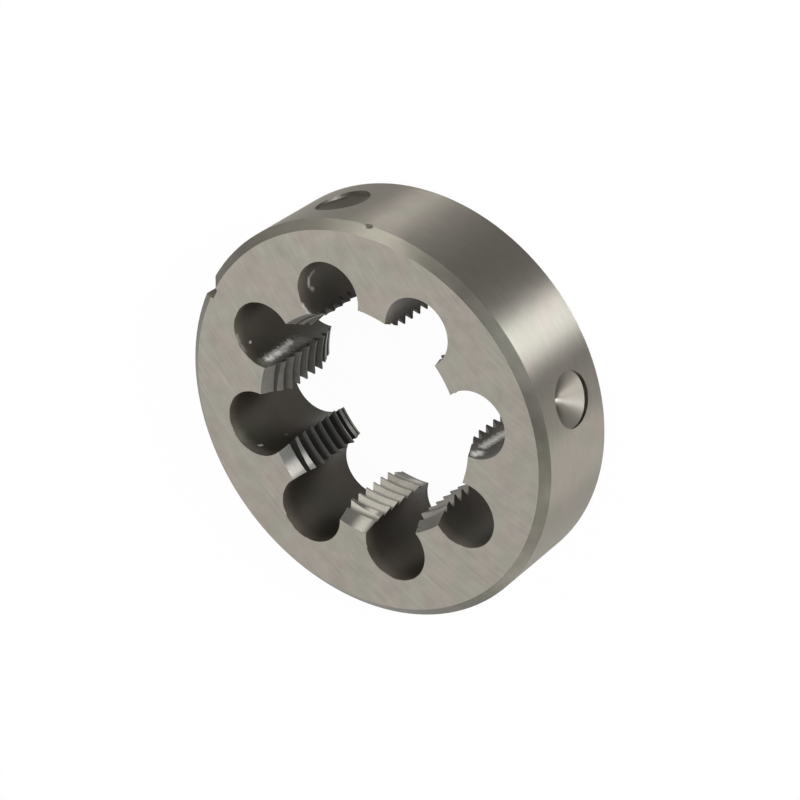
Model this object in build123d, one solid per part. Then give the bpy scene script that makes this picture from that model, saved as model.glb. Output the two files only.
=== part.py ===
from build123d import *
from math import atan2, ceil, degrees, radians, tan
import os

# Threading die: a solid round die with eight chip holes and a straight pipe
# thread cut right through. It lies on its back face. The origin is the centre
# of the back face and +Z runs along the axis to the front, lead-in face.
# All lengths are in millimetres and all angles in degrees.

# Blank
outside_diameter = 75.0
thickness = 20.0
front_chamfer_width = 1.65
front_chamfer_height = 1.35
back_chamfer_width = 1.35
back_chamfer_height = 1.1

# Thread: straight pipe thread, size 1 1/4, with 55 degree flanks
threads_per_inch = 11
major_diameter = 41.91
flank_angle = 55.0
left_hand = True
crest_height_at_x_axis = 1.05

# Lead-in cones of the bore, front and back, with the ground relief of the lands
front_mouth_diameter = 43.4
front_cone_half_angle = 23.0
back_mouth_diameter = 42.2
back_cone_half_angle = 20.0
relief_offset = 1.8

# Chip holes
chip_hole_count = 8
chip_hole_diameter = 12.65
chip_circle_diameter = 47.6

# Locking dimples, drilled into the rim near mid thickness
dimple_angles = (0.45, 90.0, 180.0, 270.0)
dimple_height = 9.75
dimple_diameter = 9.9
dimple_wall = 0.8
dimple_point_angle = 118.0

# Adjusting notch, a flat-bottomed V groove along the rim over one chip hole
notch_angle = 135.5
notch_depth = 2.2
notch_floor_width = 2.0
notch_flank_angle = 60.0

# Nick left by a knock where the rim meets the front chamfer
nick_angle = 71.8
nick_length = 3.2
nick_radius = 0.75
nick_depth = 0.5
nick_tilt = 24.0

# Values worked out from the sizes above
millimetres_per_inch = 25.4
pitch = millimetres_per_inch / threads_per_inch
thread_depth = 0.640327 * pitch
thread_flat = pitch / 6
outside_radius = outside_diameter / 2
major_radius = major_diameter / 2
minor_radius = major_radius - thread_depth
land_step = 360 / chip_hole_count
overrun = 1.0
thread_overcut = 0.1


def turned_blank():
    """Ring with a plain bore at the minor diameter and both rims chamfered.

    Its seam is turned to the notch, which cuts it away and leaves the rim whole.
    """
    section = Polyline(
        (minor_radius, 0),
        (outside_radius - back_chamfer_width, 0),
        (outside_radius, back_chamfer_height),
        (outside_radius, thickness - front_chamfer_height),
        (outside_radius - front_chamfer_width, thickness),
        (minor_radius, thickness),
        close=True,
    )
    return Rot(0, 0, notch_angle) * revolve(Plane.XZ * make_face(section), Axis.Z)


def cone_tool(mouth_diameter, half_angle):
    """Solid cone that opens upward and meets its mouth diameter at z = 0."""
    mouth_radius = mouth_diameter / 2
    slope = tan(radians(half_angle))
    top_radius = mouth_radius + overrun * slope
    depth = mouth_radius / slope
    cone = Cone(0, top_radius, depth + overrun, align=(Align.CENTER, Align.CENTER, Align.MAX))
    return Pos(0, 0, overrun) * cone


def relieved_lead(mouth_diameter, half_angle):
    """One cone cut for each land, its axis set off so that the heel falls away."""
    heel_side = 1 if left_hand else -1
    cuts = []
    for index in range(chip_hole_count):
        land_angle = (index + 0.5) * land_step
        cone = Pos(0, heel_side * relief_offset, 0) * cone_tool(mouth_diameter, half_angle)
        half_width = outside_radius * tan(radians(land_step / 2))
        sector = Polyline(
            (0, 0),
            (outside_radius, -half_width),
            (outside_radius, half_width),
            close=True,
        )
        wedge = extrude(make_face(sector), amount=thickness, both=True)
        cuts.append(Rot(0, 0, land_angle) * (cone & wedge))
    return cuts


def chip_holes():
    """Round holes through the whole thickness that break into the bore."""
    hole = Cylinder(
        chip_hole_diameter / 2,
        thickness + 2 * overrun,
        align=(Align.CENTER, Align.CENTER, Align.MIN),
    )
    places = PolarLocations(chip_circle_diameter / 2, chip_hole_count)
    return [place * Pos(0, 0, -overrun) * hole for place in places]


def thread_grooves():
    """Helical thread grooves, one short length for each land and each turn."""
    flank_slope = tan(radians(flank_angle / 2))
    root_half = thread_flat / 2
    mouth_radius = minor_radius - thread_overcut
    mouth_half = root_half + (major_radius - mouth_radius) * flank_slope
    profile = Polyline(
        (mouth_radius, -mouth_half),
        (major_radius, -root_half),
        (major_radius, root_half),
        (mouth_radius, mouth_half),
        close=True,
    )
    path = Helix(pitch, pitch / chip_hole_count, minor_radius, lefthand=left_hand)
    length = sweep(Plane.XZ * make_face(profile), path=path, is_frenet=True)
    hand = -1 if left_hand else 1
    grooves = []
    for land in range(chip_hole_count):
        start_angle = (land + 0.5 - hand / 2) * land_step
        start_height = crest_height_at_x_axis + hand * pitch * start_angle / 360
        for turn in range(-1, ceil(thickness / pitch) + 1):
            height = start_height + (turn + 0.5) * pitch
            grooves.append(Pos(0, 0, height) * Rot(0, 0, start_angle) * length)
    return grooves


def locking_dimples():
    """Blind drilled seats for the holder's locking screws."""
    radius = dimple_diameter / 2
    point_depth = radius / tan(radians(dimple_point_angle / 2))
    floor = outside_radius - dimple_wall
    section = Polyline(
        (0, floor - point_depth),
        (radius, floor),
        (radius, outside_radius + overrun),
        (0, outside_radius + overrun),
        close=True,
    )
    drill = revolve(Plane.XZ * make_face(section), Axis.Z)
    aim = Pos(0, 0, dimple_height)
    return [aim * Rot(0, 0, angle) * Rot(0, 90, 0) * drill for angle in dimple_angles]


def adjusting_notch():
    """V groove with a flat floor, where the die could be slit to adjust it."""
    floor = outside_radius - notch_depth
    floor_half = notch_floor_width / 2
    mouth_half = floor_half + (notch_depth + overrun) * tan(radians(notch_flank_angle / 2))
    section = Polyline(
        (floor, -floor_half),
        (outside_radius + overrun, -mouth_half),
        (outside_radius + overrun, mouth_half),
        (floor, floor_half),
        close=True,
    )
    return Rot(0, 0, notch_angle) * extrude(make_face(section), amount=thickness)


def edge_nick():
    """Small spindle-shaped dent along the edge of the rim, tilted a little across it."""
    tip = Cone(nick_radius, 0, nick_length / 2, align=(Align.CENTER, Align.CENTER, Align.MIN))
    spindle = tip + mirror(tip, about=Plane.XY)
    outward = degrees(atan2(front_chamfer_width, front_chamfer_height)) / 2
    edge = Pos(outside_radius, 0, thickness - front_chamfer_height) * Rot(0, -outward, 0)
    aim = edge * Pos(nick_radius - nick_depth, 0, 0) * Rot(90 - nick_tilt, 0, 0)
    return Rot(0, 0, nick_angle) * aim * spindle


die_body = turned_blank()
front_face = Pos(0, 0, thickness)
back_face = Rot(180, 0, 0)
die_body -= [front_face * cut for cut in relieved_lead(front_mouth_diameter, front_cone_half_angle)]
die_body -= back_face * cone_tool(back_mouth_diameter, back_cone_half_angle)
die_body -= chip_holes()
die_body -= thread_grooves()
die_body -= locking_dimples()
die_body -= adjusting_notch()
die_body -= edge_nick()

os.makedirs("parts", exist_ok=True)
export_step(die_body, "parts/die_body.step")
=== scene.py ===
"""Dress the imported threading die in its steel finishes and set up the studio.

Lengths are in metres and angles in degrees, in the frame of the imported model:
the origin is the centre of the back face and +Z points out of the front face.
Inside the steel's material, lengths are in millimetres.
"""

import logging
from dataclasses import dataclass, field
from enum import Enum
from math import cos, degrees, pi, radians, sin
from typing import Union

import bpy
from mathutils import Matrix, Vector

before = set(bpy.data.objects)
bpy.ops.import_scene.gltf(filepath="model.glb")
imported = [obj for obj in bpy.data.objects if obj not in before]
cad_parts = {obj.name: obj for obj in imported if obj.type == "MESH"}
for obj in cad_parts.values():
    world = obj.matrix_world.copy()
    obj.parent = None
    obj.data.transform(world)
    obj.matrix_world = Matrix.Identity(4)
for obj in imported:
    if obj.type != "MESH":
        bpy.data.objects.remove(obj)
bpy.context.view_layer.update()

log = logging.getLogger("threading_die")

Colour = tuple[float, float, float]
WHITE: Colour = (1.0, 1.0, 1.0)
COOL: Colour = (0.93, 0.96, 1.0)
MILLIMETRES_PER_METRE = 1000.0
NOISE_MIDDLE = 0.5
DIE_NODE = "die_body"


class Operation(Enum):
    """Math node operations that the materials use."""

    ADD = "ADD"
    SUBTRACT = "SUBTRACT"
    MULTIPLY = "MULTIPLY"
    DIVIDE = "DIVIDE"
    ROOT = "SQRT"
    SIZE = "ABSOLUTE"
    SMALLER = "MINIMUM"
    LARGER = "MAXIMUM"
    NEAREST = "ROUND"
    WRAP = "WRAP"
    SINE = "SINE"
    COSINE = "COSINE"
    ANGLE = "ARCTAN2"
    ABOVE = "GREATER_THAN"
    BELOW = "LESS_THAN"


class Value:
    """A number that varies over a surface, whose arithmetic adds Math nodes."""

    def __init__(self, graph: "Graph", socket: bpy.types.NodeSocket) -> None:
        """Wrap an output socket of a graph."""
        self.graph = graph
        self.socket = socket

    def math(self, operation: Operation, *others: "Number") -> "Value":
        """Apply a Math node.

        Args:
            operation: What the node works out.
            others: Its further inputs.

        Returns:
            The node's result.
        """
        return self.graph.math(operation, self, *others)

    def __add__(self, other: "Number") -> "Value":
        """Sum of the two."""
        return self.math(Operation.ADD, other)

    def __radd__(self, other: "Number") -> "Value":
        """Sum of the two, with the number first."""
        return self.graph.math(Operation.ADD, other, self)

    def __sub__(self, other: "Number") -> "Value":
        """Difference of the two."""
        return self.math(Operation.SUBTRACT, other)

    def __rsub__(self, other: "Number") -> "Value":
        """Difference of the two, with the number first."""
        return self.graph.math(Operation.SUBTRACT, other, self)

    def __mul__(self, other: "Number") -> "Value":
        """Product of the two."""
        return self.math(Operation.MULTIPLY, other)

    def __rmul__(self, other: "Number") -> "Value":
        """Product of the two, with the number first."""
        return self.graph.math(Operation.MULTIPLY, other, self)

    def __truediv__(self, other: "Number") -> "Value":
        """Quotient of the two."""
        return self.math(Operation.DIVIDE, other)

    def __abs__(self) -> "Value":
        """Size without its sign."""
        return self.math(Operation.SIZE)

    def __gt__(self, other: "Number") -> "Value":
        """1 where the value is larger, else 0."""
        return self.math(Operation.ABOVE, other)

    def __lt__(self, other: "Number") -> "Value":
        """1 where the value is smaller, else 0."""
        return self.math(Operation.BELOW, other)

    def __or__(self, other: "Value") -> "Value":
        """The larger of the two, which joins two masks."""
        return self.math(Operation.LARGER, other)


Number = Union[Value, float]
Input = Union[Value, float, bool, tuple[float, ...]]


class Graph:
    """The node tree of one material or world, emptied and ready to fill."""

    def __init__(self, owner: Union[bpy.types.Material, bpy.types.World]) -> None:
        """Switch the owner to nodes and clear its tree."""
        owner.use_nodes = True
        self.tree = owner.node_tree
        self.tree.nodes.clear()

    def add(
        self,
        kind: str,
        settings: Union[dict[str, object], None] = None,
        inputs: Union[dict[Union[int, str], Input], None] = None,
    ) -> bpy.types.Node:
        """Add any node.

        Args:
            kind: The node's type.
            settings: Properties that are set before its inputs.
            inputs: Values or links of its input sockets.

        Returns:
            The node.
        """
        made = self.tree.nodes.new(kind)
        for name, setting in (settings or {}).items():
            setattr(made, name, setting)
        for name, given in (inputs or {}).items():
            if isinstance(given, Value):
                self.tree.links.new(given.socket, made.inputs[name])
            else:
                made.inputs[name].default_value = given
        return made

    def node(
        self,
        kind: str,
        settings: Union[dict[str, object], None] = None,
        inputs: Union[dict[Union[int, str], Input], None] = None,
        output: Union[int, str] = 0,
    ) -> Value:
        """Add any node and hand back one of its outputs.

        Args:
            kind: The node's type.
            settings: Properties that are set before its inputs.
            inputs: Values or links of its input sockets.
            output: The output socket to hand back.

        Returns:
            The chosen output.
        """
        return Value(self, self.add(kind, settings, inputs).outputs[output])

    def math(self, operation: Operation, *numbers: Number) -> Value:
        """Add a Math node on up to three numbers."""
        inputs = dict(enumerate(numbers))
        return self.node("ShaderNodeMath", {"operation": operation.value}, inputs)

    def hypotenuse(self, a: Value, b: Value) -> Value:
        """Length of a two-part distance."""
        return self.math(Operation.ROOT, a * a + b * b)

    def parts(self, vector: Value) -> tuple[Value, Value, Value]:
        """Split a vector into its three parts."""
        split = self.add("ShaderNodeSeparateXYZ", None, {0: vector})
        x, y, z = (Value(self, part) for part in split.outputs)
        return x, y, z

    def point(self, x: Number, y: Number, z: Number = 0.0) -> Value:
        """Join three numbers into a place for a texture."""
        return self.node("ShaderNodeCombineXYZ", None, {0: x, 1: y, 2: z})

    def step(self, value: Value, low: float, high: float) -> Value:
        """Rise smoothly from 0 at low to 1 at high."""
        return self.node(
            "ShaderNodeMapRange",
            {"interpolation_type": "SMOOTHSTEP"},
            {0: value, 1: low, 2: high, 3: 0.0, 4: 1.0},
        )

    def window(self, value: Value, low: float, high: float, soft: float) -> Value:
        """1 between low and high, with soft edges outside them."""
        return self.step(value, low - soft, low) - self.step(value, high, high + soft)

    def mix_numbers(self, factor: Number, a: Number, b: Number) -> Value:
        """Blend two numbers, which are inputs 2 and 3 of the Mix node."""
        return self.node("ShaderNodeMix", {"data_type": "FLOAT"}, {0: factor, 2: a, 3: b})

    def mix_colours(self, factor: Number, a: Input, b: Input) -> Value:
        """Blend two colours, which are inputs 6 and 7 of the Mix node."""
        return self.node("ShaderNodeMix", {"data_type": "RGBA"}, {0: factor, 6: a, 7: b}, output=2)

    def scale_colour(self, colour: Input, factor: Value) -> Value:
        """Multiply all parts of a colour by one number."""
        return self.node(
            "ShaderNodeMix",
            {"data_type": "RGBA", "blend_type": "MULTIPLY"},
            {0: 1.0, 6: colour, 7: self.point(factor, factor, factor)},
            output=2,
        )

    def noise(self, place: Value, scale: float = 1.0, detail: float = 2.0) -> Value:
        """Smooth noise from 0 to 1 around a middle of one half."""
        inputs = {"Vector": place, "Scale": scale, "Detail": detail}
        return self.node("ShaderNodeTexNoise", None, inputs)


def opaque(colour: Colour) -> tuple[float, float, float, float]:
    """Add full opacity to a colour."""
    return (*colour, 1.0)


@dataclass(frozen=True)
class DieSizes:
    """Sizes of the die that tell its worked surfaces apart.

    Lengths are in millimetres and angles in degrees. Depths and clearances are
    the room left at a surface for its facets. Reaches are how far the bore
    extends from the axis, and the notch to each side of its angle.
    """

    outside_radius: float = 37.5
    rim_depth: float = 0.2
    chamfer_start: float = 35.7
    chip_holes: int = 8
    chip_hole_radius: float = 6.325
    chip_circle_radius: float = 23.8
    hole_wall_depth: float = 0.1
    bore_reach: float = 22.6
    crest_radius: float = 19.5
    crest_depth: float = 0.3
    thickness: float = 20.0
    face_depth: float = 0.1
    dimple_height: float = 9.75
    notch_angle: float = 135.5
    notch_reach: float = 6.5
    notch_clearance: float = 0.05


@dataclass(frozen=True)
class Slopes:
    """Bounds on how far normals point up or down, or out from the axis, from 0 to 1."""

    flat: float = 0.95
    chamfer: float = 0.65
    lead_cone: tuple[float, float] = (0.31, 0.43)
    lead_cone_soft: float = 0.02
    hole_wall: float = 0.3
    upright_wall: float = 0.1
    rim_outward: float = 0.9
    chamfer_outward: float = 0.4
    dimple_wall_outward: float = 0.3


class Surface:
    """Places, directions and distances on the die that the finishes share.

    Lengths are in millimetres. The angle about the bore is in radians, and
    bearing is the same in degrees. Land_offset is how far the bearing is from
    the middle of the nearest land.
    """

    cloud_scale: float = 0.30
    tint_scale: float = 0.16
    tint_edges: tuple[float, float] = (0.38, 0.62)

    def __init__(self, graph: Graph, sizes: DieSizes, slopes: Slopes) -> None:
        """Work out the shared values once."""
        self.graph = graph
        self.sizes = sizes
        self.slopes = slopes
        metres = graph.node("ShaderNodeTexCoord", output="Object")
        self.place = graph.node(
            "ShaderNodeVectorMath",
            {"operation": "SCALE"},
            {0: metres, "Scale": MILLIMETRES_PER_METRE},
        )
        self.x, self.y, self.z = graph.parts(self.place)
        normal = graph.node("ShaderNodeNewGeometry", output="True Normal")
        normal_x, normal_y, normal_z = graph.parts(normal)
        self.upright = abs(normal_z)
        self.radius = graph.hypotenuse(self.x, self.y)
        self.outward = (normal_x * self.x + normal_y * self.y) / self.radius
        self.angle = graph.math(Operation.ANGLE, self.y, self.x)
        self.bearing = self.angle * degrees(1.0)
        land_step = 360.0 / sizes.chip_holes
        self.land_offset = self.bearing.math(Operation.WRAP, land_step, 0.0) - land_step / 2
        self.clouds = graph.noise(self.place, self.cloud_scale, detail=4.0)
        patches = graph.noise(self.place, self.tint_scale, detail=3.0)
        self.tint = graph.step(patches, *self.tint_edges)
        self.hole_distance, self.hole_angle, self.hole_number = self.from_chip_hole()

    def from_chip_hole(self) -> tuple[Value, Value, Value]:
        """Find the nearest chip hole.

        Returns:
            Distance from the hole's axis in millimetres, angle round it in
            degrees from its outermost side, and number of the hole.
        """
        step = 2 * pi / self.sizes.chip_holes
        turns = self.angle / step
        nearest = turns.math(Operation.NEAREST)
        offset = (turns - nearest) * step
        along = self.radius * offset.math(Operation.COSINE) - self.sizes.chip_circle_radius
        across = self.radius * offset.math(Operation.SINE)
        around = self.graph.math(Operation.ANGLE, across, along) * degrees(1.0)
        number = nearest.math(Operation.WRAP, float(self.sizes.chip_holes), 0.0)
        return self.graph.hypotenuse(along, across), around, number


@dataclass(frozen=True)
class Finish:
    """How one worked surface of the steel looks.

    The metal reflects the first colour and drifts to the second in patches.
    Relief is the depth of its tool marks in millimetres, and mottle is how far
    its tone wanders.
    """

    colour: Colour
    drift: Colour
    roughness: float
    mottle: float
    relief: float

    def mask(self, surface: Surface) -> Value:
        """1 on this finish and 0 elsewhere."""
        raise NotImplementedError

    def marks(self, surface: Surface) -> Value:
        """Tool marks from 0 to 1."""
        raise NotImplementedError

    def tone(self, surface: Surface) -> Value:
        """Wandering brightness around 1."""
        return 1.0 + (surface.clouds - NOISE_MIDDLE) * (2 * self.mottle)


@dataclass(frozen=True)
class GroundFace(Finish):
    """Front and back face, ground flat in long arcs by a turning wheel.

    Lengths are in millimetres. A scratch is dark where noise drawn out along
    the arcs rises through the dark bounds, and light where it falls through the
    light ones.
    """

    colour: Colour = (0.372, 0.335, 0.296)
    drift: Colour = (0.352, 0.338, 0.290)
    roughness: float = 0.40
    mottle: float = 0.22
    relief: float = 0.0020
    arc_centre: tuple[float, float] = (100.0, 65.0)
    lines_per_millimetre: float = 1.8
    line_length: float = 6.0
    line_contrast: float = 0.20
    scratches_per_millimetre: float = 1.1
    scratch_length: float = 16.0
    scratch_contrast: float = 0.06
    dark_scratches: tuple[float, float] = (0.60, 0.70)
    light_scratches: tuple[float, float] = (0.30, 0.40)

    def mask(self, surface: Surface) -> Value:
        """The flat faces."""
        half = surface.sizes.thickness / 2
        at_ends = abs(surface.z - half) > half - surface.sizes.face_depth
        return (surface.upright > surface.slopes.flat) * at_ends

    def stretched(self, surface: Surface, fineness: float, length: float, detail: float) -> Value:
        """Noise drawn out along the arcs of the wheel.

        Args:
            surface: Where the noise lies.
            fineness: Lines to the millimetre across the arcs.
            length: Length of one line in millimetres.
            detail: How much finer noise is laid over it.

        Returns:
            Noise from 0 to 1.
        """
        graph = surface.graph
        away_x = surface.x - self.arc_centre[0]
        away_y = surface.y - self.arc_centre[1]
        reach = graph.hypotenuse(away_x, away_y)
        arc_radius = (self.arc_centre[0] ** 2 + self.arc_centre[1] ** 2) ** 0.5
        along = graph.math(Operation.ANGLE, away_y, away_x) * (arc_radius / length)
        return graph.noise(graph.point(reach * fineness, along), detail=detail)

    def marks(self, surface: Surface) -> Value:
        """Grinding lines along arcs about a far centre."""
        return self.stretched(surface, self.lines_per_millimetre, self.line_length, detail=3.0)

    def tone(self, surface: Surface) -> Value:
        """Cloudy patches, grinding lines and a few longer scratches."""
        graph = surface.graph
        lines = (self.marks(surface) - NOISE_MIDDLE) * self.line_contrast
        scratches = self.stretched(
            surface, self.scratches_per_millimetre, self.scratch_length, detail=1.0
        )
        dark = graph.step(scratches, *self.dark_scratches) * -self.scratch_contrast
        light = (1.0 - graph.step(scratches, *self.light_scratches)) * self.scratch_contrast
        return super().tone(surface) + lines + dark + light


@dataclass(frozen=True)
class TurnedRim(Finish):
    """Outer wall, turned round the axis, so that it shines in upright bands."""

    colour: Colour = (0.226, 0.205, 0.179)
    drift: Colour = (0.214, 0.205, 0.173)
    roughness: float = 0.49
    mottle: float = 0.10
    relief: float = 0.0006
    rings_per_millimetre: float = 5.0
    ring_breaks: float = 2.0
    streaks_along: float = 0.3
    streaks_across: float = 2.0
    streak_contrast: float = 0.22

    def mask(self, surface: Surface) -> Value:
        """The cylinder wall."""
        sizes = surface.sizes
        outside = surface.radius > sizes.outside_radius - sizes.rim_depth
        return (surface.outward > surface.slopes.rim_outward) * outside

    def marks(self, surface: Surface) -> Value:
        """Fine rings left by the turning tool."""
        graph = surface.graph
        across = surface.z * self.rings_per_millimetre
        return graph.noise(graph.point(across, surface.angle * self.ring_breaks))

    def tone(self, surface: Surface) -> Value:
        """Wandering brightness with faint streaks along the rings."""
        place = surface.graph.point(
            surface.x * self.streaks_along,
            surface.y * self.streaks_along,
            surface.z * self.streaks_across,
        )
        streaks = surface.graph.noise(place, detail=3.0)
        return super().tone(surface) + (streaks - NOISE_MIDDLE) * self.streak_contrast


@dataclass(frozen=True)
class Chamfer(TurnedRim):
    """Turned slopes between the rim and the faces, darker from the hardening."""

    colour: Colour = (0.150, 0.139, 0.117)
    drift: Colour = (0.135, 0.131, 0.107)
    roughness: float = 0.40
    mottle: float = 0.16

    def mask(self, surface: Surface) -> Value:
        """Both chamfers."""
        slopes = surface.slopes
        slanting = (surface.upright > slopes.chamfer) * (surface.upright < slopes.flat)
        outward = surface.outward > slopes.chamfer_outward
        return slanting * (surface.radius > surface.sizes.chamfer_start) * outward


@dataclass(frozen=True)
class SootAndShade:
    """Oily dirt with painted shade on the lands between two bearings, as tones of their parts.

    Bearings are in degrees. The tone changes from the tip's to the root's over a span of depths,
    which are counted in millimetres from the crest, darker towards the roots as painted shade.
    """

    bearings: tuple[float, float]
    tip: float
    root: float
    depths: tuple[float, float]
    cone: float

    def tone(self, surface: Surface, cones: Value) -> Value:
        """Share of the light that the oily dirt and the painted shade leave.

        Args:
            surface: Where the soot lies.
            cones: 1 on the lead-in cones and 0 on the teeth.

        Returns:
            1 on the other lands, and the tones on these.
        """
        graph, crest = surface.graph, surface.sizes.crest_radius
        deep = graph.step(surface.radius, crest + self.depths[0], crest + self.depths[1])
        dark = graph.mix_numbers(cones, graph.mix_numbers(deep, self.tip, self.root), self.cone)
        low, high = self.bearings
        return 1.0 - (surface.bearing > low) * (surface.bearing < high) * (1.0 - dark)


@dataclass(frozen=True)
class CutThread(Finish):
    """Flanks, crests and lead-in cones of the lands, with painted light and shade by land and oily
    dirt on some.

    Bearings and offsets are in degrees. On lands before lit_leads_to, the three lead tones,
    painted shade, a painted highlight and painted shade again, follow each other across the
    lead-in cone, over the offsets of the rise and of the fall.
    """

    colour: Colour = (0.443, 0.410, 0.353)
    drift: Colour = (0.424, 0.405, 0.340)
    roughness: float = 0.42
    mottle: float = 0.22
    relief: float = 0.0015
    lines_per_millimetre: float = 4.0
    line_breaks: float = 3.0
    grain_scale: float = 2.5
    grain: float = 0.5
    # Painted shade on all lands outside one span of bearings, and on the crests.
    shaded_lands_tone: float = 0.39
    crest_shade_tone: float = 0.48
    lit_land: tuple[float, float] = (-128.0, -98.0)
    lit_land_soft: float = 26.0
    # Oily dirt with painted shade on each span of lands, darker towards the roots.
    soots_and_shades: tuple[SootAndShade, ...] = (
        SootAndShade((90.0, 135.0), 0.62, 0.20, (0.2, 1.1), 0.75),
        SootAndShade((135.0, 180.0), 0.60, 0.25, (0.2, 1.1), 0.47),
        # On this land a cone tone above 1 is a painted highlight.
        SootAndShade((-180.0, -140.0), 0.37, 0.06, (0.0, 0.65), 1.08),
        SootAndShade((-140.0, 90.0), 1.0, 0.40, (0.65, 1.25), 0.90),
    )
    # Painted highlight across the lead-in cones of the lands before this bearing.
    lit_leads_to: float = -98.0
    lead_highlight_tones: tuple[float, float, float] = (0.27, 1.21, 0.50)
    lead_rise: tuple[float, float] = (-3.0, 3.5)
    lead_fall: tuple[float, float] = (5.0, 7.5)

    def mask(self, surface: Surface) -> Value:
        """Everything that turns about the bore."""
        inside = surface.radius < surface.sizes.bore_reach
        return inside * (surface.upright < surface.slopes.flat)

    def marks(self, surface: Surface) -> Value:
        """Fine lines that follow the thread round the bore."""
        place = surface.graph.point(
            surface.z * self.lines_per_millimetre,
            surface.radius * self.lines_per_millimetre,
            surface.angle * self.line_breaks,
        )
        return surface.graph.noise(place)

    def tone(self, surface: Surface) -> Value:
        """Brightness with painted shade towards the oily roots, on all lands but one and on the
        crests, and painted highlights on some lead-in cones.
        """
        graph, sizes, slopes = surface.graph, surface.sizes, surface.slopes
        cones = graph.window(surface.upright, *slopes.lead_cone, slopes.lead_cone_soft)
        at_crests = surface.radius < sizes.crest_radius + sizes.crest_depth
        crests = (surface.upright < slopes.upright_wall) * at_crests
        speckle = graph.noise(surface.place, self.grain_scale, detail=3.0)
        grain = (speckle - NOISE_MIDDLE) * self.grain
        # All lands outside one span of bearings are darkened here, painted shade.
        painted_mask = 1.0 - graph.window(surface.bearing, *self.lit_land, self.lit_land_soft)
        tone = (super().tone(surface) + grain) * (1.0 - (1.0 - self.shaded_lands_tone) * painted_mask)
        # Crests darkened, painted shade.
        tone = tone * (1.0 - (1.0 - self.crest_shade_tone) * crests)
        # Oily dirt with painted shade, darker towards the roots of some lands.
        for soot_and_shade in self.soots_and_shades:
            tone = tone * soot_and_shade.tone(surface, cones)
        # Painted highlight and shade across some lead-in cones.
        leads = cones * (surface.bearing < self.lit_leads_to)
        return tone * (1.0 - leads * (1.0 - self.lead_highlight(surface)))

    def lead_highlight(self, surface: Surface) -> Value:
        """Tone across a lead-in cone: painted shade, a painted highlight, then painted shade."""
        graph = surface.graph
        first, middle, last = self.lead_highlight_tones
        rising = graph.mix_numbers(graph.step(surface.land_offset, *self.lead_rise), first, middle)
        return graph.mix_numbers(graph.step(surface.land_offset, *self.lead_fall), rising, last)


@dataclass(frozen=True)
class DrilledDimple(Finish):
    """Cone and short wall of each locking dimple.

    It lies under all other finishes, so it needs no mask. The dimple about shaded_dimple_bearing
    has painted shade on its cone and painted light on its wall. The wall's tones are those of the
    other dimples, with painted shade, and of that one.
    """

    colour: Colour = (0.168, 0.154, 0.133)
    drift: Colour = (0.160, 0.152, 0.126)
    roughness: float = 0.42
    mottle: float = 0.12
    relief: float = 0.0015
    rings_per_millimetre: float = 4.0
    # Painted shade on one dimple's cone; painted shade and painted light on the walls.
    shaded_cone_tone: float = 0.57
    painted_wall_tones: tuple[float, float] = (0.62, 1.45)
    shaded_dimple_bearing: tuple[float, float] = (75.0, 105.0)
    shaded_dimple_soft: float = 2.0

    def marks(self, surface: Surface) -> Value:
        """Rings round the dimple's axis."""
        graph = surface.graph
        side = abs(surface.x).math(Operation.SMALLER, abs(surface.y))
        ring = graph.hypotenuse(side, surface.z - surface.sizes.dimple_height)
        return graph.noise(graph.point(ring * self.rings_per_millimetre, 0.0))

    def tone(self, surface: Surface) -> Value:
        """Painted shade on the walls of the other dimples, and painted light on the wall and
        painted shade on the cone of the one about shaded_dimple_bearing.
        """
        graph = surface.graph
        # The one dimple that carries painted shade on its cone and painted light on its wall.
        shaded_dimple = graph.window(surface.bearing, *self.shaded_dimple_bearing, self.shaded_dimple_soft)
        cone = 1.0 - (1.0 - self.shaded_cone_tone) * shaded_dimple
        wall = graph.mix_numbers(shaded_dimple, *self.painted_wall_tones)
        on_wall = abs(surface.outward) < surface.slopes.dimple_wall_outward
        return super().tone(surface) * graph.mix_numbers(on_wall, cone, wall)


@dataclass(frozen=True)
class Scale(Finish):
    """Dark skin that the hardening left where no tool cut afterwards, darkened further as painted
    shade of the deep walls and the notch.

    Within lit_depth of the front face, its tone rises by up to painted_light_gain, painted light
    near the mouths of the holes.
    """

    # Oxide colour, darkened further as painted shade of the deep walls.
    colour: Colour = (0.046, 0.037, 0.029)
    drift: Colour = (0.041, 0.037, 0.026)
    roughness: float = 0.46
    mottle: float = 0.25
    relief: float = 0.004
    lit_depth: float = 3.0
    painted_light_gain: float = 1.1
    rings_per_millimetre: float = 1.3
    rings_per_degree: float = 0.02

    def mask(self, surface: Surface) -> Value:
        """Walls of the chip holes and of the notch."""
        sizes, slopes = surface.sizes, surface.slopes
        at_wall = abs(surface.hole_distance - sizes.chip_hole_radius) < sizes.hole_wall_depth
        hole = at_wall * (surface.upright < slopes.hole_wall)
        near_notch = abs(surface.bearing - sizes.notch_angle) < sizes.notch_reach
        inside = surface.radius < sizes.outside_radius - sizes.notch_clearance
        notch = near_notch * (surface.upright < slopes.upright_wall) * inside
        return hole | notch

    def tone(self, surface: Surface) -> Value:
        """Lighter towards the front face, painted light near the mouths of the holes."""
        top = surface.sizes.thickness
        # Painted light near the mouths of the holes.
        painted_mask = surface.graph.step(surface.z, top - self.lit_depth, top)
        return super().tone(surface) * (1.0 + self.painted_light_gain * painted_mask)

    def marks(self, surface: Surface) -> Value:
        """Shallow rings left by the drill."""
        graph = surface.graph
        around = surface.hole_angle * self.rings_per_degree
        place = graph.point(surface.z * self.rings_per_millimetre, around)
        return graph.noise(place, detail=3.0)


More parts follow.
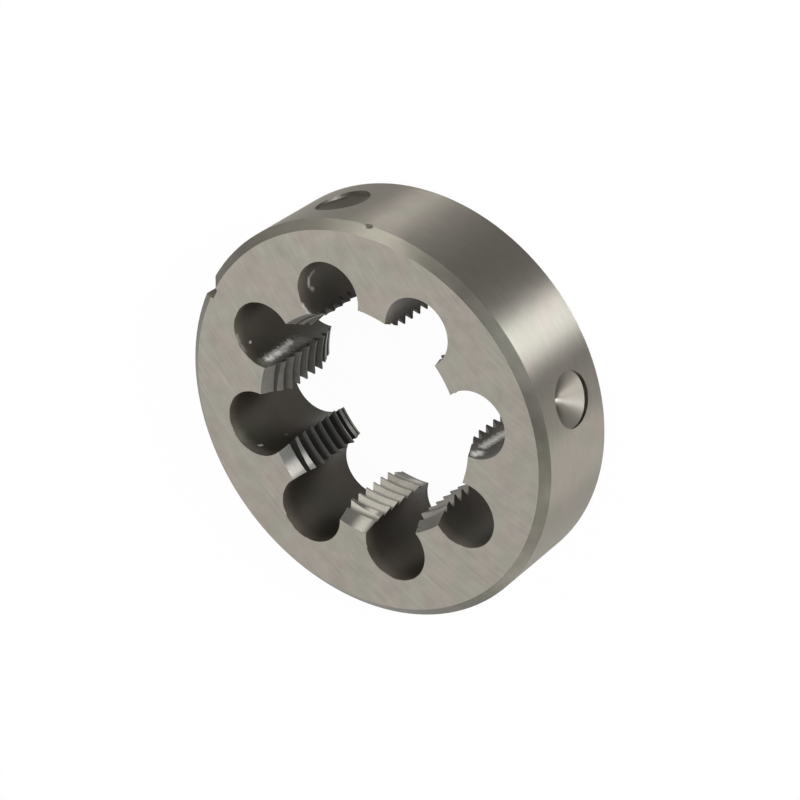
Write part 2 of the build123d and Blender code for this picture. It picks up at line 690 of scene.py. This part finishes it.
@dataclass(frozen=True)
class HighlightStreak:
    """Painted highlight: a bright streak on the wall of one chip hole.

    The holes are counted towards +Y from hole 0 at +X. The streak's ends are
    given as the angle round the hole in degrees, counted from its outermost
    side, and the height in millimetres. Broken is how far short strokes across
    it interrupt it, from 0 to 1.
    """

    hole: int
    start: tuple[float, float]
    end: tuple[float, float]
    half_width: float
    strength: float
    broken: float = 0.0
    wobble_scale: float = 1.6
    strokes_per_millimetre: float = 2.7
    strokes_per_degree: float = 0.07
    stroke_edges: tuple[float, float] = (0.40, 0.60)

    def mask(self, surface: Surface) -> Value:
        """Strength of the streak, fading to 0 at its half width."""
        graph = surface.graph
        per_degree = radians(1.0) * surface.sizes.chip_hole_radius
        run = ((self.end[0] - self.start[0]) * per_degree, self.end[1] - self.start[1])
        length = (run[0] ** 2 + run[1] ** 2) ** 0.5
        across = (surface.hole_angle - self.start[0]) * per_degree
        down = surface.z - self.start[1]
        share = across * (run[0] / length ** 2) + down * (run[1] / length ** 2)
        share = share.math(Operation.LARGER, 0.0).math(Operation.SMALLER, 1.0)
        away = graph.hypotenuse(across - share * run[0], down - share * run[1])
        wobble = graph.noise(surface.place, self.wobble_scale) - NOISE_MIDDLE
        away = away + wobble * self.half_width
        # The painted highlight, fading out at its half width.
        streak = (1.0 - graph.step(away, 0.0, self.half_width)) * self.strength
        if self.broken:
            streak = streak * (1.0 - self.broken * (1.0 - self.strokes(surface)))
        in_this_hole = abs(surface.hole_number - float(self.hole)) < 0.5
        return streak * in_this_hole

    def strokes(self, surface: Surface) -> Value:
        """1 on the strokes across the streak and 0 between them."""
        graph = surface.graph
        place = graph.point(
            surface.z * self.strokes_per_millimetre, surface.hole_angle * self.strokes_per_degree
        )
        return graph.step(graph.noise(place), *self.stroke_edges)


@dataclass(frozen=True)
class PaintedHighlights(Finish):
    """Painted highlights: streaks and specks on the walls of the chip holes.

    The front edge glints in patches of the clouds, a painted highlight. The glint sets in at the
    first of two depths below the front face, in millimetres, and is full above the second.
    """

    # Bright metal colour of the painted highlights.
    colour: Colour = (0.78, 0.75, 0.69)
    drift: Colour = (0.76, 0.73, 0.66)
    roughness: float = 0.42
    mottle: float = 0.20
    relief: float = 0.004
    glint_strength: float = 0.35
    glint_patches: tuple[float, float] = (0.42, 0.58)
    glint_depths: tuple[float, float] = (0.25, 0.05)
    # Painted highlights on single hole walls, some with broad faint painted light around them.
    highlight_streaks: tuple[HighlightStreak, ...] = (
        HighlightStreak(3, (108.0, 17.0), (107.0, 12.5), 1.45, 1.0, 0.4),
        HighlightStreak(3, (106.5, 12.5), (102.5, 9.6), 1.15, 0.8, 0.4),
        HighlightStreak(3, (112.0, 18.0), (112.0, 8.0), 2.4, 0.16),
        HighlightStreak(3, (66.0, 17.3), (66.0, 17.0), 0.35, 0.55),
        HighlightStreak(3, (45.0, 19.6), (72.0, 19.5), 0.6, 0.15),
        HighlightStreak(4, (59.0, 17.5), (61.0, 17.1), 0.45, 0.4),
        HighlightStreak(4, (71.0, 11.4), (72.0, 11.1), 0.3, 0.25),
        HighlightStreak(4, (28.0, 19.5), (78.0, 19.5), 2.6, 0.05),
        HighlightStreak(0, (-107.0, 9.0), (-112.5, 15.6), 1.35, 1.0, 0.2),
        HighlightStreak(0, (-110.0, 18.5), (-107.5, 18.0), 1.5, 0.9, 0.2),
        HighlightStreak(0, (-118.0, 9.0), (-118.0, 18.0), 2.8, 0.10),
        HighlightStreak(0, (-134.0, 8.0), (-134.0, 17.0), 2.5, 0.06),
        HighlightStreak(1, (98.0, 10.0), (98.0, 18.0), 4.0, 0.05),
        HighlightStreak(6, (-132.0, 1.0), (-88.0, 1.0), 3.5, 0.05),
        HighlightStreak(2, (61.0, 15.4), (69.0, 16.7), 0.65, 0.22, 0.4),
        HighlightStreak(2, (69.0, 16.7), (82.0, 16.8), 0.6, 0.32, 0.3),
        HighlightStreak(2, (88.0, 16.2), (91.0, 15.9), 0.6, 0.25),
        HighlightStreak(2, (104.0, 19.8), (122.0, 19.6), 0.7, 0.5),
    )

    def mask(self, surface: Surface) -> Value:
        """All painted highlights: the streaks and the glint of the front edge, on the walls alone.
        """
        graph, top = surface.graph, surface.sizes.thickness
        # Painted highlight along the front edge, in patches.
        painted_mask = graph.step(surface.clouds, *self.glint_patches) * self.glint_strength
        low, high = (top - depth for depth in self.glint_depths)
        joined = graph.step(surface.z, low, high) * painted_mask
        for highlight_streak in self.highlight_streaks:
            joined = joined | highlight_streak.mask(surface)
        return joined * Scale().mask(surface)

    def marks(self, surface: Surface) -> Value:
        """The same rings as the wall around it."""
        return Scale().marks(surface)


@dataclass(frozen=True)
class Layer:
    """Finishes that share one shader, laid over each other.

    The first finish covers all, and each later one its own mask. Anisotropy is
    how far highlights stretch across tool marks, and along_rings the turn that
    lets these marks run round the axis.
    """

    finishes: tuple[Finish, ...]
    anisotropy: float
    metallic: float = 1.0
    along_rings: float = 0.25
    roughness_wander: float = 0.10

    def mask(self, surface: Surface) -> Value:
        """1 on any of the layer's finishes."""
        joined = self.finishes[0].mask(surface)
        for finish in self.finishes[1:]:
            joined = joined | finish.mask(surface)
        return joined

    def shader(self, surface: Surface) -> Value:
        """Blend the finishes into one shader."""
        graph = surface.graph
        first = self.finishes[0]
        colour = graph.mix_colours(surface.tint, opaque(first.colour), opaque(first.drift))
        tone = first.tone(surface)
        roughness: Number = first.roughness
        height = first.marks(surface) * first.relief
        for finish in self.finishes[1:]:
            mask = finish.mask(surface)
            own = graph.mix_colours(surface.tint, opaque(finish.colour), opaque(finish.drift))
            colour = graph.mix_colours(mask, colour, own)
            tone = graph.mix_numbers(mask, tone, finish.tone(surface))
            roughness = graph.mix_numbers(mask, roughness, finish.roughness)
            height = graph.mix_numbers(mask, height, finish.marks(surface) * finish.relief)
        relief = {"Strength": 1.0, "Distance": 1.0 / MILLIMETRES_PER_METRE, "Height": height}
        wander = (surface.clouds - NOISE_MIDDLE) * self.roughness_wander
        return graph.node(
            "ShaderNodeBsdfPrincipled",
            None,
            {
                "Base Color": graph.scale_colour(colour, tone),
                "Metallic": self.metallic,
                "Roughness": roughness + wander,
                "Anisotropic": self.anisotropy,
                "Anisotropic Rotation": self.along_rings,
                "Normal": graph.node("ShaderNodeBump", None, relief),
            },
        )


@dataclass
class ToolSteel:
    """The die's material: one steel with a finish for each kind of cut."""

    name: str = "tool_steel_worked"
    layers: tuple[Layer, ...] = (
        Layer((DrilledDimple(), GroundFace(), Chamfer()), 0.0),
        Layer((CutThread(),), 0.0, 0.3),
        Layer((Scale(),), 0.0, 0.7),
        Layer((PaintedHighlights(),), 0.0, 0.3),
        Layer((TurnedRim(),), 1.0),
    )

    def build(self) -> bpy.types.Material:
        """Join the layers, each over the ones before it."""
        material = bpy.data.materials.new(self.name)
        graph = Graph(material)
        surface = Surface(graph, DieSizes(), Slopes())
        shader = self.layers[0].shader(surface)
        for layer in self.layers[1:]:
            inputs = {0: layer.mask(surface), 1: shader, 2: layer.shader(surface)}
            shader = graph.node("ShaderNodeMixShader", None, inputs)
        graph.add("ShaderNodeOutputMaterial", None, {"Surface": shader})
        return material


@dataclass
class Die:
    """The threading die, shown by its own CAD node."""

    node: bpy.types.Object

    def dress(self) -> None:
        """Give every material slot of the node the worked steel."""
        steel = ToolSteel().build()
        for slot in self.node.material_slots:
            slot.material = steel


@dataclass
class Floor:
    """A plain white floor that keeps the die's shadow faintly.

    From the near to the far distance, in metres, what is left of its shading
    fades to pure white.
    """

    half_side: float = 4.0
    colour: Colour = (0.9, 0.9, 0.9)
    shown_white: float = 0.97
    near: float = 0.12
    far: float = 0.6

    def build(self) -> None:
        """Make the floor at the height of the die's back face."""
        side = self.half_side
        corners = [(-side, -side, 0), (side, -side, 0), (side, side, 0), (-side, side, 0)]
        mesh = bpy.data.meshes.new("floor")
        mesh.from_pydata(corners, [], [(0, 1, 2, 3)])
        floor = bpy.data.objects.new("floor", mesh)
        bpy.context.scene.collection.objects.link(floor)
        mesh.materials.append(self.material())

    def material(self) -> bpy.types.Material:
        """White for the eye and for reflections, with some of its shading left."""
        material = bpy.data.materials.new("floor_white")
        graph = Graph(material)
        place = graph.node("ShaderNodeTexCoord", output="Object")
        reach = graph.node(
            "ShaderNodeVectorMath", {"operation": "LENGTH"}, {0: place}, output="Value"
        )
        away = graph.step(reach, self.near, self.far)
        share = (self.shown_white + (1.0 - self.shown_white) * away) * seen_directly(graph)
        white = graph.node("ShaderNodeEmission", None, {"Color": opaque(WHITE), "Strength": 1.0})
        matt = graph.node("ShaderNodeBsdfDiffuse", None, {"Color": opaque(self.colour)})
        mixed = graph.node("ShaderNodeMixShader", None, {0: share, 1: matt, 2: white})
        graph.add("ShaderNodeOutputMaterial", None, {"Surface": mixed})
        return material


def seen_directly(graph: Graph) -> Value:
    """1 for rays from the eye and for reflected or refracted ones."""
    eye, reflected, refracted = (
        graph.node("ShaderNodeLightPath", output=name)
        for name in ("Is Camera Ray", "Is Glossy Ray", "Is Transmission Ray")
    )
    return eye | reflected | refracted


@dataclass(frozen=True)
class Panel:
    """A soft rectangular lamp that faces the die.

    Azimuth is counted from +X towards +Y. Width and height are angles, and the
    lamp's sides are their chords at its distance. The glow is the brightness of
    its surface, where 1 is white.
    """

    name: str
    azimuth: float
    elevation: float
    width: float
    height: float
    glow: float
    distance: float = 0.6
    colour: Colour = WHITE

    def build(self, target: Vector) -> None:
        """Place the lamp so that it faces the target."""
        data = bpy.data.lights.new(self.name, "AREA")
        data.shape = "RECTANGLE"
        data.size = 2 * self.distance * sin(radians(self.width / 2))
        data.size_y = 2 * self.distance * sin(radians(self.height / 2))
        data.energy = self.glow * pi * data.size * data.size_y
        data.color = self.colour
        lamp = bpy.data.objects.new(self.name, data)
        turn, lift = radians(self.azimuth), radians(self.elevation)
        away = Vector((cos(lift) * cos(turn), cos(lift) * sin(turn), sin(lift)))
        lamp.location = target + away * self.distance
        lamp.rotation_euler = away.to_track_quat("Z", "Y").to_euler()
        lamp.visible_camera = False
        bpy.context.scene.collection.objects.link(lamp)


@dataclass
class Camera:
    """The photograph's viewpoint, in metres, with lens and sensor in millimetres."""

    place: tuple[float, float, float] = (0.27921, 0.14282, 0.34218)
    forward: tuple[float, float, float] = (-0.60939, -0.31258, -0.72866)
    up: tuple[float, float, float] = (0.0, 0.91901, -0.39423)
    lens: float = 116.82
    sensor: float = 36.0
    clip: tuple[float, float] = (0.01, 50.0)

    def build(self) -> None:
        """Create the camera and make it the scene's."""
        data = bpy.data.cameras.new("camera")
        data.sensor_width = self.sensor
        data.lens = self.lens
        data.clip_start, data.clip_end = self.clip
        camera = bpy.data.objects.new("camera", data)
        forward = Vector(self.forward).normalized()
        right = forward.cross(Vector(self.up)).normalized()
        up = right.cross(forward)
        turned = Matrix((right, up, -forward)).transposed().to_4x4()
        camera.matrix_world = Matrix.Translation(self.place) @ turned
        bpy.context.scene.collection.objects.link(camera)
        bpy.context.scene.camera = camera


@dataclass
class Studio:
    """Floor, surroundings, and lamps that face the middle of the die."""

    target: Vector = field(default_factory=lambda: Vector((0.0, 0.0, 0.01)))
    panels: tuple[Panel, ...] = (
        Panel("strip_low", 17.0, 8.0, 20.0, 14.0, 12.0, colour=COOL),
        Panel("strip_mid", 16.5, 25.0, 19.0, 20.0, 26.0, colour=COOL),
        Panel("left_near", -20.0, 8.0, 28.0, 14.0, 5.5),
        Panel("left_low", -45.0, 14.0, 30.0, 26.0, 6.2),
        Panel("left_far", -78.0, 7.0, 38.0, 14.0, 6.1),
        Panel("left_back", -116.0, 8.0, 36.0, 16.0, 0.85),
        Panel("left_mid", -62.0, 42.0, 60.0, 30.0, 0.3),
        Panel("right_mid", 101.0, 30.0, 14.0, 22.0, 10.0),
        Panel("right_high", 102.0, 50.0, 30.0, 18.0, 3.8),
        Panel("right_broad", 130.0, 25.0, 30.0, 40.0, 1.1),
        Panel("over_front", 54.0, 54.0, 46.0, 26.0, 0.4),
        Panel("back_panel", 207.0, 50.0, 70.0, 44.0, 1.10),
        Panel("back_right", 163.0, 28.0, 34.0, 30.0, 1.8),
    )
    horizon_glow: float = 0.2
    ceiling_glow: float = 0.05
    dimming_elevations: tuple[float, float] = (6.0, 22.0)

    def build(self) -> None:
        """Make the floor, the lamps and the world."""
        Floor().build()
        for panel in self.panels:
            panel.build(self.target)
        self.surroundings()

    def surroundings(self) -> None:
        """Grey walls up to a little above the horizon and a dim ceiling."""
        world = bpy.data.worlds.new("studio")
        bpy.context.scene.world = world
        graph = Graph(world)
        direction = graph.node("ShaderNodeTexCoord", output="Generated")
        height = graph.parts(direction)[2]
        low, high = (sin(radians(elevation)) for elevation in self.dimming_elevations)
        dim = graph.step(height, low, high)
        glow = self.horizon_glow + (self.ceiling_glow - self.horizon_glow) * dim
        background = graph.node("ShaderNodeBackground", None, {"Strength": glow})
        graph.add("ShaderNodeOutputWorld", None, {"Surface": background})


def main() -> None:
    """Build the camera, the die's looks and the studio in order."""
    Camera().build()
    log.info("camera placed")
    Die(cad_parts[DIE_NODE]).dress()
    log.info("die_body dressed in worked steel")
    Studio().build()
    log.info("studio built")
    bpy.context.scene.view_settings.view_transform = "Standard"


if __name__ == "__main__":
    logging.basicConfig(level=logging.INFO, format="%(message)s")
    main()
